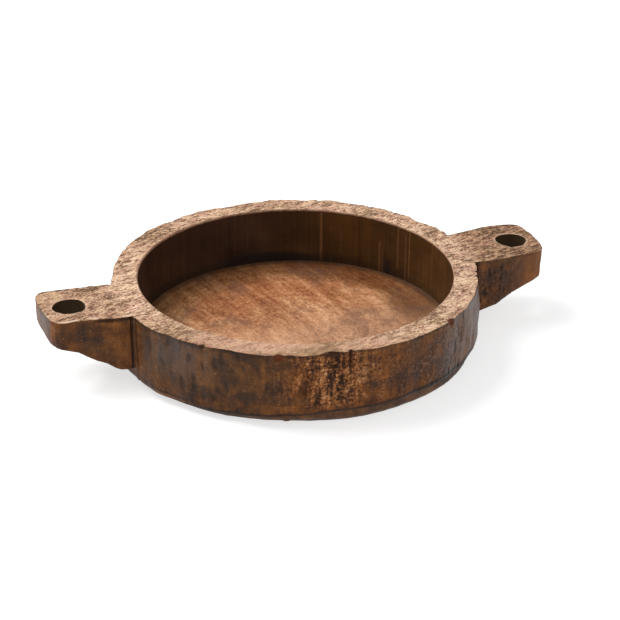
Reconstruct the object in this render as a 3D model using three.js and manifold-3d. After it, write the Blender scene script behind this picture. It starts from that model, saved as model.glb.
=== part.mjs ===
// Round two-handled wooden bowl: a base board, a wall ring standing on it, and two
// ear handles doweled to the wall. Millimetres, +Z up. The origin is on the underside
// of the base, at the middle of the overall length and width.
import * as THREE from 'three';
import { mergeVertices } from 'three/addons/utils/BufferGeometryUtils.js';
import Module from 'manifold-3d';

// Overall
const overallLength = 349.25;       // tip to tip of the handles
const bowlDiameter = 247.65;        // outside of the wall at the rim, which is the overall width
const overallHeight = 50.8;
const bowlShiftX = -1.9;            // the hand-cut bowl sits off the middle between the tips

// Wall ring
const wallThickness = 18.5;         // at the rim
const wallTaper = 2.5;              // the outside draws in by this much at its foot
const hollowShiftY = -0.85;         // the turned hollow is this far off the outside's centre
const rimEase = 1.2;                // broken edge at the top of the wall
const footEase = 2;                 // broken edge at the foot of the wall

// Base board
const baseThickness = 10;
const baseInset = 3.5;              // the board's edge stands in from the foot of the wall
const baseChamfer = 3;              // sloped lower edge of the board

// Handles
const handleWidth = 50;
const handleRootDepth = 36.8;       // below the rim, where the handle meets the wall
const handleTipThickness = 16.5;
const handleRootY = -3.9;           // middle of the handle's width at the wall
const handleTipY = -0.9;            // and at its tip
const handleCorner = 9;             // plan radius at the tip's two corners
const handleEndBow = 1.8;           // how far the end face swells out between its corners
const handleEase = 1.2;             // broken edge around its top
const undersideFullness = 0.45;     // 0.5 makes the underside a straight slope, less makes it hollow
const gripHoleDiameter = 21;
const gripHoleEnd = 18.2;           // hole centre back from the handle's tip
const gripHoleY = -2.2;

// Handle dowels, two in each handle
const dowelDiameter = 8;
const dowelSpacing = 28;
const dowelBelowRim = 18.4;
const dowelInWall = 11;
const dowelInHandle = 21;

// Base pegs, driven up through the base board into the wall
const pegCount = 8;
const pegDiameter = 6;
const pegInWall = 18;

// Fits
const glueGap = 0.3;                // between faces that touch, and beside and behind dowels and pegs

// Roundness of the faceted surfaces
const ringSides = 96;
const boreSides = 20;
const curveSteps = 8;

// How far a cutting tool runs past the face that it leaves through
const past = 5;

// Derived places
const rimRadius = bowlDiameter / 2;
const footRadius = rimRadius - wallTaper;
const hollowRadius = rimRadius - wallThickness;
const wallBottom = baseThickness + glueGap;
const baseRadius = footRadius - baseInset;
const pegCircleRadius = (hollowRadius + baseRadius - baseChamfer) / 2;
const tipX = overallLength / 2;
const handleRootBottom = overallHeight - handleRootDepth;
const handleTipBottom = overallHeight - handleTipThickness;
const dowelZ = overallHeight - dowelBelowRim;

const wasm = await Module();
wasm.setup();

// --- three.js geometry to and from solids

function toSolid(geometry) {
  const bare = geometry.clone();
  bare.deleteAttribute('normal');
  bare.deleteAttribute('uv');
  const merged = mergeVertices(bare, 1e-4);
  const mesh = new wasm.Mesh({
    numProp: 3,
    vertProperties: Float32Array.from(merged.attributes.position.array),
    triVerts: Uint32Array.from(merged.index.array),
  });
  return new wasm.Manifold(mesh);
}

function toGeometry(solid) {
  const mesh = solid.getMesh();
  const geometry = new THREE.BufferGeometry();
  geometry.setAttribute('position', new THREE.BufferAttribute(Float32Array.from(mesh.vertProperties), 3));
  geometry.setIndex(Array.from(mesh.triVerts));
  geometry.computeVertexNormals();
  return geometry;
}

// A closed outline of [radius, z] points turned about the vertical axis.
function turned(outline, sides) {
  const points = outline.map(([radius, z]) => new THREE.Vector2(radius, z));
  return new THREE.LatheGeometry(points, sides).rotateX(Math.PI / 2);
}

// A plain rod whose axis runs up from the origin.
function rod(diameter, length, sides) {
  return turned([[0, 0], [diameter / 2, 0], [diameter / 2, length], [0, length]], sides);
}

function material(color) {
  return new THREE.MeshStandardMaterial({ color, roughness: 0.75, metalness: 0 });
}

function named(name, solid, color) {
  const mesh = new THREE.Mesh(toGeometry(solid), material(color));
  mesh.name = name;
  return mesh;
}

// --- Places shared by the pieces that fit together

// Each peg stands on the peg circle, clear of the handle dowels.
const pegPlaces = Array.from({ length: pegCount }, (_, k) => {
  const angle = ((k + 0.5) / pegCount) * Math.PI * 2;
  return [bowlShiftX + pegCircleRadius * Math.cos(angle), pegCircleRadius * Math.sin(angle)];
});

// Outside radius of the wall at a height: straight from the foot to the eased rim.
function wallRadiusAt(z) {
  const share = (z - wallBottom) / (overallHeight - rimEase - wallBottom);
  return footRadius + (rimRadius - footRadius) * share;
}

// Where the wall's outside lies along X at the dowels, on one side of the bowl.
function wallFaceX(side, y) {
  const radius = wallRadiusAt(dowelZ);
  return bowlShiftX + side * Math.sqrt(radius * radius - y * y);
}

// side is +1 for the right handle and -1 for the left one.
function dowelPlaces(side) {
  return [-0.5, 0.5].map((share) => {
    const y = handleRootY + share * dowelSpacing;
    const face = wallFaceX(side, y);
    return { y, innerX: face - side * dowelInWall, outerX: face + side * dowelInHandle };
  });
}

// A rod along X between two places, longer by grow at both ends.
function rodAlongX(place, diameter, grow) {
  const from = Math.min(place.innerX, place.outerX) - grow;
  const to = Math.max(place.innerX, place.outerX) + grow;
  const geometry = rod(diameter, to - from, boreSides).rotateY(Math.PI / 2);
  return geometry.translate(from, place.y, dowelZ);
}

function dowelBores(side) {
  return dowelPlaces(side).map((place) => toSolid(rodAlongX(place, dowelDiameter + 2 * glueGap, glueGap)));
}

function pegRods(diameter, bottom, top) {
  return pegPlaces.map(([x, y]) => toSolid(rod(diameter, top - bottom, boreSides).translate(x, y, bottom)));
}

function cutAll(solid, tools) {
  return tools.reduce((rest, tool) => rest.subtract(tool), solid);
}

// --- Wall ring

function makeWallRing() {
  const outside = turned([
    [0, wallBottom],
    [footRadius - footEase, wallBottom],
    [wallRadiusAt(wallBottom + footEase), wallBottom + footEase],
    [wallRadiusAt(overallHeight - rimEase), overallHeight - rimEase],
    [rimRadius - rimEase, overallHeight],
    [0, overallHeight],
  ], ringSides).translate(bowlShiftX, 0, 0);
  const hollow = turned([
    [0, wallBottom - past],
    [hollowRadius, wallBottom - past],
    [hollowRadius, overallHeight - rimEase],
    [hollowRadius + rimEase, overallHeight],
    [hollowRadius + rimEase, overallHeight + past],
    [0, overallHeight + past],
  ], ringSides).translate(bowlShiftX, hollowShiftY, 0);
  const pegBores = pegRods(pegDiameter + 2 * glueGap, wallBottom - past, wallBottom + pegInWall + glueGap);
  const bores = [...pegBores, ...dowelBores(1), ...dowelBores(-1)];
  return cutAll(toSolid(outside), [toSolid(hollow), ...bores]);
}

// --- Base board

function makeBaseBoard() {
  const board = turned([
    [0, 0],
    [baseRadius - baseChamfer, 0],
    [baseRadius, baseChamfer],
    [baseRadius, baseThickness],
    [0, baseThickness],
  ], ringSides).translate(bowlShiftX, 0, 0);
  return cutAll(toSolid(board), pegRods(pegDiameter + 2 * glueGap, -past, baseThickness + past));
}

// --- Handles, drawn for the right-hand side and turned over in X by side = -1

// Plan of a handle, from inside the wall to its bowed end.
function handlePlan(side) {
  const half = handleWidth / 2;
  const endX = tipX - handleEndBow;
  const shape = new THREE.Shape();
  shape.moveTo(side * hollowRadius, handleRootY - half);
  shape.lineTo(side * (endX - handleCorner), handleTipY - half);
  shape.quadraticCurveTo(side * endX, handleTipY - half, side * endX, handleTipY - half + handleCorner);
  shape.quadraticCurveTo(
    side * (tipX + handleEndBow),
    handleTipY,
    side * endX,
    handleTipY + half - handleCorner,
  );
  shape.quadraticCurveTo(side * endX, handleTipY + half, side * (endX - handleCorner), handleTipY + half);
  shape.lineTo(side * hollowRadius, handleRootY + half);
  shape.closePath();
  return shape;
}

// Side view of a handle: flat on top, rising underneath to a thin tip. The flat stretch at
// its root lies inside the wall's outline and is coped away.
function handleSideView(side) {
  const rise = handleTipBottom - handleRootBottom;
  const shape = new THREE.Shape();
  shape.moveTo(side * hollowRadius, handleRootBottom);
  shape.lineTo(side * footRadius, handleRootBottom);
  shape.quadraticCurveTo(
    (side * (footRadius + tipX)) / 2,
    handleRootBottom + rise * undersideFullness,
    side * tipX,
    handleTipBottom,
  );
  shape.lineTo(side * (tipX + past), handleTipBottom);
  shape.lineTo(side * (tipX + past), overallHeight + past);
  shape.lineTo(side * hollowRadius, overallHeight + past);
  shape.closePath();
  return shape;
}

function makeHandle(side) {
  const blank = new THREE.ExtrudeGeometry(handlePlan(side), {
    depth: overallHeight - 2 * handleEase,
    curveSegments: curveSteps,
    bevelThickness: handleEase,
    bevelSize: handleEase,
    bevelOffset: -handleEase,
    bevelSegments: 1,
  }).translate(0, 0, handleEase);
  const sideBlock = new THREE.ExtrudeGeometry(handleSideView(side), {
    depth: bowlDiameter,
    curveSegments: curveSteps,
    bevelEnabled: false,
  }).rotateX(Math.PI / 2).translate(0, rimRadius, 0);
  const cope = turned([
    [0, handleRootBottom - past],
    [wallRadiusAt(handleRootBottom - past) + glueGap, handleRootBottom - past],
    [wallRadiusAt(overallHeight + past) + glueGap, overallHeight + past],
    [0, overallHeight + past],
  ], ringSides).translate(bowlShiftX, 0, 0);
  const gripHole = rod(gripHoleDiameter, overallHeight + past, boreSides * 2)
    .translate(side * (tipX - gripHoleEnd), gripHoleY, 0);
  const handle = toSolid(blank).intersect(toSolid(sideBlock));
  return cutAll(handle, [toSolid(cope), toSolid(gripHole), ...dowelBores(side)]);
}

// --- The assembly

const woodColors = {
  wall: 0x8a6a4c,
  base: 0x7a5234,
  handle: 0x85654a,
  dowel: 0xb08a5e,
  peg: 0x9a7650,
};

const bowl = new THREE.Group();
bowl.add(named('base_board', makeBaseBoard(), woodColors.base));
bowl.add(named('wall_ring', makeWallRing(), woodColors.wall));

for (const [side, label] of [[-1, 'left'], [1, 'right']]) {
  bowl.add(named(`handle_${label}`, makeHandle(side), woodColors.handle));
  dowelPlaces(side).forEach((place, k) => {
    const solid = toSolid(rodAlongX(place, dowelDiameter, 0));
    bowl.add(named(`handle_dowel_${label}_${k + 1}`, solid, woodColors.dowel));
  });
}

pegRods(pegDiameter, glueGap, wallBottom + pegInWall).forEach((solid, k) => {
  bowl.add(named(`base_peg_${k + 1}`, solid, woodColors.peg));
});

export default bowl;
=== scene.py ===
import math

import bmesh
import bpy
import numpy as np
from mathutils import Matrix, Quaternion, Vector


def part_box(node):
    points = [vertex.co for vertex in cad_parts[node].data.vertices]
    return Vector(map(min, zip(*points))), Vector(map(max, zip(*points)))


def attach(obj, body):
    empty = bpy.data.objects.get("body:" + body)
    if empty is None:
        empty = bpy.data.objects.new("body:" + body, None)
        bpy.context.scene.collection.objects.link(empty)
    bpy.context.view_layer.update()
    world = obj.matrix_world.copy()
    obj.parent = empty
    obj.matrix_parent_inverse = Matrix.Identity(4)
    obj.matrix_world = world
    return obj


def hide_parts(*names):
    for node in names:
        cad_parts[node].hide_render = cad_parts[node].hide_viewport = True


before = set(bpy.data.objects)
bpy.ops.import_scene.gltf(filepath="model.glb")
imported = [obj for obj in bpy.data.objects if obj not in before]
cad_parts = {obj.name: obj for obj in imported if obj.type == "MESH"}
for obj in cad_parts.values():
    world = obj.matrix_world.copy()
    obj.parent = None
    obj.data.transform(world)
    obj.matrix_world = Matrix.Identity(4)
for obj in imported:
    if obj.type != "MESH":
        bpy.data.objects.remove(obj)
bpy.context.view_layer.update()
scene = bpy.context.scene
mm = 0.001  # shapes are worked out in millimetres and stored in metres


def inMm(corners):
    return [corner / mm for corner in corners]


wallLow, wallHigh = inMm(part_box("wall_ring"))
baseLow, baseHigh = inMm(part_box("base_board"))
bowlX = (wallLow.x + wallHigh.x) / 2
bowlY = (wallLow.y + wallHigh.y) / 2
rimRadius = (wallHigh.x - wallLow.x) / 2
rimHeight = wallHigh.z
floorHeight = baseHigh.z
baseRadius = (baseHigh.x - baseLow.x) / 2
fullTurn = 2 * math.pi
upright = math.pi / 2


# numbers: smooth steps, noise and overlapping cuts

def smoothStep(low, high, x):
    t = np.clip((np.asarray(x, float) - low) / (high - low), 0, 1)
    return t * t * (3 - 2 * t)


def hump(x, centre, halfWidth):
    return 1 - smoothStep(0, halfWidth, np.abs(np.asarray(x, float) - centre))


def angleOf(x, y):
    return np.arctan2(y - bowlY, x - bowlX)


def angleHump(angle, centreDegrees, halfDegrees):
    away = np.abs((np.degrees(angle) - centreDegrees + 180) % 360 - 180)
    return 1 - smoothStep(0, halfDegrees, away)


def humps(angle, table):
    # rows of angle, half width in degrees and height, added up
    return sum(height * angleHump(angle, centre, half) for centre, half, height in table)


def cellValue(cells, seed):
    # a repeatable number from -1 to 1 for each whole-number cell
    mixed = cells[..., 0] * 73856093 ^ cells[..., 1] * 19349663
    mixed = mixed ^ cells[..., 2] * 83492791 ^ (seed * 97531)
    mixed = (mixed ^ (mixed >> 13)) * 1274126177
    return ((mixed ^ (mixed >> 16)) & 0xFFFF) / 32767.5 - 1


def noiseAt(points, cell, seed):
    # smooth noise from -1 to 1; cell is its size in mm on each axis
    scaled = np.asarray(points, float) / np.asarray(cell, float)
    whole = np.floor(scaled).astype(np.int64)
    part = scaled - whole
    part = part * part * (3 - 2 * part)
    total = 0
    for corner in np.ndindex(2, 2, 2):
        weight = np.prod(np.where(corner, part, 1 - part), axis=-1)
        total = total + weight * cellValue(whole + np.array(corner), seed)
    return total


def layeredNoise(points, cell, seed, layers=2):
    total, size, share = 0, np.asarray(cell, float), 1.0
    for k in range(layers):
        total = total + share * noiseAt(points, size, seed + k)
        size, share = size / 2, share / 2
    return total


def spot(x, y, z):
    return np.stack([x + 0 * y + 0 * z, y + 0 * x + 0 * z, z + 0 * x + 0 * y], axis=-1)


def noiseAlong(u, cell, seed, layers=2):
    # layered noise that changes along one line only
    return layeredNoise(spot(u, 0, 0), (cell, 9, 9), seed, layers)


def scoopDepth(u, v, cuts):
    # the deepest of many overlapping round-bottomed cuts at each point
    shape = u.shape
    u, v = u.ravel(), v.ravel()
    depth = np.zeros(len(u))
    for cutU, cutV, halfLong, halfShort, turn, cutDepth in cuts:
        near = np.nonzero((np.abs(u - cutU) < halfLong) & (np.abs(v - cutV) < halfLong))[0]
        if not len(near):
            continue
        du, dv = u[near] - cutU, v[near] - cutV
        along = (du * math.cos(turn) + dv * math.sin(turn)) / halfLong
        across = (dv * math.cos(turn) - du * math.sin(turn)) / halfShort
        bowl = np.clip(1 - along**2 - across**2, 0, None)
        depth[near] = np.maximum(depth[near], cutDepth * bowl)
    return depth.reshape(shape)


def scatterCuts(rng, uRange, vRange, cut, keep=1.0):
    # one cut near each point of a grid, moved, turned and sized at random
    step, half, turn, turnSpread, depth = cut
    cuts = []
    for u in np.arange(uRange[0], uRange[1], step[0]):
        for v in np.arange(vRange[0], vRange[1], step[1]):
            jitter = rng.uniform(-0.5, 0.5, 2)
            size = rng.uniform(0.65, 1.35, 2)
            spread = rng.normal(0, turnSpread)
            deep = depth * rng.uniform(0.35, 1.2)
            if rng.uniform() < keep:
                cuts.append((u + jitter[0] * step[0], v + jitter[1] * step[1],
                             half[0] * size[0], half[1] * size[1], turn + spread, deep))
    return cuts


# meshes

def newObject(name, mesh):
    obj = bpy.data.objects.new(name, mesh)
    scene.collection.objects.link(obj)
    return obj


def meshObject(name, points, faces, smooth=True):
    mesh = bpy.data.meshes.new(name)
    mesh.from_pydata((np.asarray(points) * mm).tolist(), [], faces)
    mesh.update()
    if smooth:
        mesh.shade_smooth()
    return newObject(name, mesh)


def addMarks(mesh, marks):
    # one number for each point, which the finishes read by name
    for name, values in marks.items():
        layer = mesh.attributes.new(name, "FLOAT", "POINT")
        layer.data.foreach_set("value", np.asarray(values, np.float32).ravel())


def ringFaces(rows, around, closed=False):
    # quads between rows of points that each run once round
    count = rows if closed else rows - 1
    low = np.arange(count)[:, None] * around
    high = (np.arange(count)[:, None] + 1) % rows * around
    k = np.arange(around)[None, :]
    nextK = (k + 1) % around
    quads = np.stack([low + k, low + nextK, high + nextK, high + k], axis=-1)
    return quads.reshape(-1, 4).tolist()


def circle(x, y, radius, z, sides):
    turn = np.linspace(0, fullTurn, sides, endpoint=False)
    return spot(x + radius * np.cos(turn), y + radius * np.sin(turn), z)


def tube(name, rings, smooth=False):
    # a closed drum from rings of points
    sides = len(rings[0])
    count = len(rings) * sides
    faces = ringFaces(len(rings), sides)
    faces += [list(range(sides - 1, -1, -1)), list(range(count - sides, count))]
    return meshObject(name, np.concatenate(rings), faces, smooth)


def applyModifiers(obj):
    graph = bpy.context.evaluated_depsgraph_get()
    mesh = bpy.data.meshes.new_from_object(obj.evaluated_get(graph))
    old = obj.data
    obj.modifiers.clear()
    obj.data = mesh
    bpy.data.meshes.remove(old)


def readVectors(mesh, name):
    values = np.zeros(len(mesh.vertices) * 3, np.float32)
    mesh.vertices.foreach_get(name, values)
    return values.reshape(-1, 3).astype(float)


# the wall's values, which the top needs as well

wall = {
    "thickness": 18.5,
    "hollowShiftY": -0.85,
    "footTaper": 1.5,
    "footRound": 0.8,
    "edgeRound": 0.35,
    "innerRound": 0.7,
    "lipBottom": 4.8,       # lower edge at the left, where the wall hangs past the base board
    "lipTilt": 4.9,         # how much higher it is at the right
    "lipInner": 118.7,
    "around": 800,          # points round the ring
    "seed": 11,
    # for each kind of cut: grid step, half length and half width, turn, how much it varies, depth
    "broadCut": ((9.5, 14.0), (9.0, 4.8), upright, 0.12, 0.5),
    "dimpleCut": ((8.2, 8.6), (4.2, 2.1), upright, 0.18, 0.7),
    "gougeCut": ((5.0, 7.0), (4.4, 0.85), upright, 0.1, 0.8),
}
hollowRadius = rimRadius - wall["thickness"]
hollowY = bowlY + wall["hollowShiftY"]


# the adzed top, one surface shared by the rim and the handles

top = {
    "seed": 5,
    "pastBowl": 52,         # how far the cuts go out over the handles
    "cuts": [               # wide cuts, small ones and nicks, each with how many are kept
        (((8.0, 5.6), (7.0, 3.2), 0.32, 0.25, 0.8), 1.0),
        (((5.2, 4.0), (3.0, 1.6), 0.4, 0.6, 0.5), 0.7),
        (((5.0, 5.0), (2.4, 0.9), 0.1, 0.3, 0.55), 0.4),
    ],
    "waves": 0.3,
    "wander": 0.16,
    "fine": 0.2,
}
topCalm = [(-110, 72, 0.8), (80, 60, 0.15)]  # angle, half width, how much less adzed it is
topDarkened = [(-100, 40, 0.55), (-142, 30, 0.55), (130, 35, 0.45), (85, 30, 0.3)]  # the same, for age


def makeTopCuts():
    rng = np.random.default_rng(top["seed"])
    across, up = rimRadius + top["pastBowl"], rimRadius + 4
    cuts = []
    for cut, keep in top["cuts"]:
        cuts += scatterCuts(rng, (-across, across), (-up, up), cut, keep)
    return [cut for cut in cuts if math.hypot(cut[0] - bowlX, cut[1] - bowlY) > hollowRadius - 4]


topCuts = makeTopCuts()


def topStrength(x, y):
    # most adzed on the handles and beside them, least at the front
    return 1 - humps(angleOf(x, y), topCalm)


def topHollow(x, y):
    # depth of the top below the rim plane, and the same as a mark from 0 to 1
    points = spot(x, y, 0)
    strength = topStrength(x, y)
    cuts = scoopDepth(x, y, topCuts) * strength
    waves = top["waves"] * (0.8 + layeredNoise(points, (13, 6, 9), 3)) * strength
    wander = top["wander"] * (1 + noiseAt(points, (38, 38, 9), 13))
    fine = top["fine"] * layeredNoise(points, (3.2, 1.6, 9), 9) * strength
    fade = 0.25 + 0.75 * smoothStep(0, 5, np.hypot(x - bowlX, y - hollowY) - hollowRadius)
    depth = np.clip((cuts * 0.8 + waves + fine) * fade + wander - 0.3, 0, None)
    hollow = np.clip((cuts / 0.6 + waves / 0.5 + fine / 0.2) * 0.55 - 0.15, 0, 1)
    return depth, hollow


def topAge(x, y):
    # how far the top has darkened: the handles, the front and the back look older than the rim's two sides
    out = np.hypot(x - bowlX, y - bowlY)
    handles = (0.85 - 0.3 * smoothStep(-100, -130, x)) * smoothStep(rimRadius - 8, rimRadius + 8, out)
    return np.clip(humps(angleOf(x, y), topDarkened) + handles, 0, 1)


def topMarks(x, y):
    return {"age": topAge(x, y), "smooth": 1 - topStrength(x, y)}


# the wall's outline and marks: angle, half width in degrees, height or depth in mm

wallFlats = [(-96, 12, 1.5), (94, 10, 2.7), (86, 7, 0.9), (-128, 8, 1.0), (68, 4, 1.6), (109, 4, 1.2),
             (116, 3, 0.9), (158, 16, 1.5), (24, 5, 1.2)]
wallSwells = [(-155, 16, 1.2), (-118, 7, 0.6), (58, 8, 1.5), (-58, 8, 0.4), (38, 12, 0.6), (76, 4, 0.7)]
rimDrawnIn = [(-96, 12, 1.0), (-25, 30, 1.4), (24, 6, 0.6), (-130, 8, 0.4)]
cornerStrips = [(-165.8, 0.95, 1), (13.0, 0.8, 1)]  # raised beside each handle, and a groove next to it
cornerGrooves = [(-164.7, 0.4, 1), (14.1, 0.4, 1)]
warmPlaces = [(-85, 45, 0.6), (60, 50, 0.4)]
rimChips = [  # angle, half width in degrees, depth into the edge, reach down the wall, redness
    (-137.3, 1.1, 1.1, 2.0, 0.0),
    (-114.4, 2.2, 1.4, 3.2, 1.0),
    (-111.2, 2.6, 0.8, 2.4, 0.2),
    (-99.2, 3.4, 1.2, 4.0, 0.0),
    (-93.3, 0.8, 2.0, 8.0, 0.2),
    (-56.3, 1.9, 1.9, 3.2, 1.0),
    (-20.0, 1.0, 1.3, 2.5, 0.0),
    (-23.5, 1.2, 1.5, 3.0, 0.0),
    (35.0, 2.0, 1.0, 2.5, 0.0),
    (44.0, 1.8, 1.1, 2.5, 0.2),
    (62.0, 1.5, 0.8, 2.0, 0.0),
    (117.0, 1.6, 0.9, 2.5, 0.3),
    (143.0, 2.0, 1.0, 2.5, 0.0),
    (170.0, 1.2, 1.0, 2.0, 0.0),
]
hollowLines = [  # angle, half width in degrees, lightness, top and bottom as shares of the depth
    (60.2, 0.75, 1.0, 0.0, 1.0),
    (44.6, 0.55, -1.0, 0.0, 1.0),
    (35.4, 0.5, 0.9, 0.4, 1.0),
    (33.9, 0.35, 0.5, 0.5, 1.0),
    (26.6, 0.5, 0.8, 0.0, 0.8),
    (22.4, 0.5, 0.7, 0.1, 1.0),
    (20.4, 0.4, 0.9, 0.0, 0.9),
    (52.0, 0.35, 0.4, 0.3, 0.8),
    (118.0, 0.5, -0.5, 0.0, 1.0),
    (150.0, 0.5, 0.3, 0.0, 1.0),
    (-60.0, 0.6, 0.8, 0.0, 1.0),
    (-88.0, 0.5, -0.8, 0.0, 1.0),
    (-121.0, 0.6, 0.6, 0.2, 1.0),
    (-160.0, 0.5, -0.6, 0.0, 1.0),
]
tornPatches = [  # angle, half width in degrees, height, half height, slant in degrees per mm, darkness
    (-106.0, 2.3, 33, 16, 0.17, 1.0),
    (-97.2, 2.8, 46, 6, 0.0, 1.0),
    (-93.4, 0.9, 42, 10, 0.0, 0.8),
    (-103.4, 1.3, 19, 10, 0.05, 0.8),
    (-97.0, 1.5, 19, 11, 0.0, 0.8),
    (-84.0, 3.5, 43, 8, 0.0, 0.4),
    (-89.0, 1.4, 20, 8, 0.0, 0.5),
    (-101.2, 1.9, 32, 16, 0.03, -0.8),
    (-89.8, 2.8, 36, 16, 0.0, -0.9),
    (-99.7, 0.8, 18, 10, 0.0, -0.7),
    (-94.3, 1.1, 19, 11, 0.0, -0.7),
    (-79.0, 3.0, 22, 10, 0.0, -0.4),
    (70.0, 2.5, 34, 14, 0.1, 0.8),
    (78.0, 2.0, 26, 16, 0.0, -0.7),
]
handleRootY = -3.7


def bodyRadius(angle):
    # hand-cut outline: a few long flats and swells, and a light wander
    ripple = 0.22 * np.sin(23 * angle + 1.3) + 0.18 * np.sin(37 * angle + 0.4)
    radius = rimRadius - 0.35 - humps(angle, wallFlats) + humps(angle, wallSwells) + ripple
    return np.minimum(radius, rimRadius + 1.2)


def crownAt(angle):
    # how far the top edge is drawn in from the body
    return 0.25 + humps(angle, rimDrawnIn)


def handleCover(angle, half):
    # 1 where a handle stands on the wall's outside, near the middle of its thickness
    y = (rimRadius - 1) * np.sin(angle) + bowlY
    return 1 - smoothStep(half - 0.9, half + 0.5, np.abs(y - handleRootY))


def lipHeight(angle):
    tilt = smoothStep(-0.75, 0.3, np.cos(angle + math.radians(15)))
    return wall["lipBottom"] + wall["lipTilt"] * tilt + 0.2 * np.sin(9 * angle)


def lipInside(angle):
    return wall["lipInner"] + 1.6 * angleHump(angle, -48, 38)


def footOutline(angle):
    # the base board isn't quite round
    wobble = 0.2 * np.sin(7 * angle) + 0.15 * np.sin(13 * angle + 2)
    return baseRadius - 0.4 + humps(angle, [(-48, 40, 2.0), (-112, 22, -1.7)]) + wobble


def outsideMarks(angle, z, rim):
    # tool marks on the wall's outside: how deep, and what the finish needs to know about them
    rng = np.random.default_rng(wall["seed"])
    full = math.pi * rimRadius
    broad = scatterCuts(rng, (-full, full), (4, rimHeight), wall["broadCut"])
    dimples = scatterCuts(rng, (-full, full), (9, rimHeight - 5), wall["dimpleCut"], 0.8)
    gouges = scatterCuts(rng, (-full, full), (12, rimHeight - 3), wall["gougeCut"], 0.5)
    u = np.degrees(angle) * math.radians(1) * rimRadius + 0 * z
    z = z + 0 * angle
    points = spot(u, 0, z)

    def at(centre, half):
        return angleHump(angle, centre, half)

    ribs = layeredNoise(points, (7, 9, 1.8), 41)
    columns = layeredNoise(points, (3.0, 9, 24), 47)
    crumbs = layeredNoise(points, (2.2, 9, 2.2), 49)
    wander = 0.32 * layeredNoise(points, (26, 9, 18), 53)

    # torn grain at the front, with a little at the back, dimples to the left of it and pits to the right
    torn = np.maximum(at(-99, 21), 0.7 * at(74, 16)) * smoothStep(1, 7, z - floorHeight)
    torn = torn * smoothStep(-0.75, 0.25, noiseAt(points, (11, 9, 9), 31) + 0.6 * at(-98, 14))
    dimpled = np.maximum(at(-136, 34), 0.8 * at(118, 40)) * (1 - torn)
    pitted = np.maximum(at(-55, 21), 0.6 * at(34, 24))
    dimple = scoopDepth(u, z, dimples) * np.clip(dimpled + 0.12, 0, 1)
    gouge = scoopDepth(u, z, gouges) * np.clip(pitted + 0.06, 0, 1)
    tear = torn * np.clip(0.3 + 0.35 * ribs + 0.4 * columns + 0.4 * crumbs, 0, 1.3)
    burn, chip, red = 0 * u, 0 * u, 0 * u
    for centre, half, height, tall, slant, darkness in tornPatches:
        leaning = angle - math.radians(slant) * (z - height)
        patch = angleHump(leaning, centre, half * 1.4) * hump(z, height, tall * 1.3)
        burn = burn + darkness * patch * (1 + 0.5 * crumbs)
    for centre, half, depth, reach, redness in rimChips:
        shape = at(centre, half) * smoothStep(reach * 1.6, reach * 0.4, rim - z)
        chip = np.maximum(chip, shape * depth)
        red = np.maximum(red, shape * redness)
    depth = scoopDepth(u, z, broad) * 0.75 * (1 - 0.6 * torn) + dimple + gouge + 0.9 * tear + wander
    depth = depth + 0.8 * chip + 0.7 * np.clip(burn, 0, 1)

    warm = 0.25 + humps(angle, warmPlaces) + 0.4 * (1 - smoothStep(10, 22, z))
    sheen = 0.75 * at(-43, 25) + 0.22 * at(-146, 22) * smoothStep(14, 40, z)
    marks = {
        # the dimple mark also darkens the colour: painted shade in the dimples and pits
        "dimple": np.clip(dimple / 0.5 + gouge / 0.28, 0, 1),
        "torn": torn,
        "tear": np.clip(tear, 0, 1),
        "burn": np.clip(burn, -1, 1.2),
        "chip": np.clip(chip, 0, 1),
        "red": red,
        "warm": np.clip(warm, 0, 1),
        "sheen": sheen * np.clip(0.7 + 0.6 * columns, 0, 1),
        "grit": np.clip(0.9 * at(-58, 30) + 0.3 * at(-80, 30), 0, 1),
    }
    return depth, marks


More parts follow.
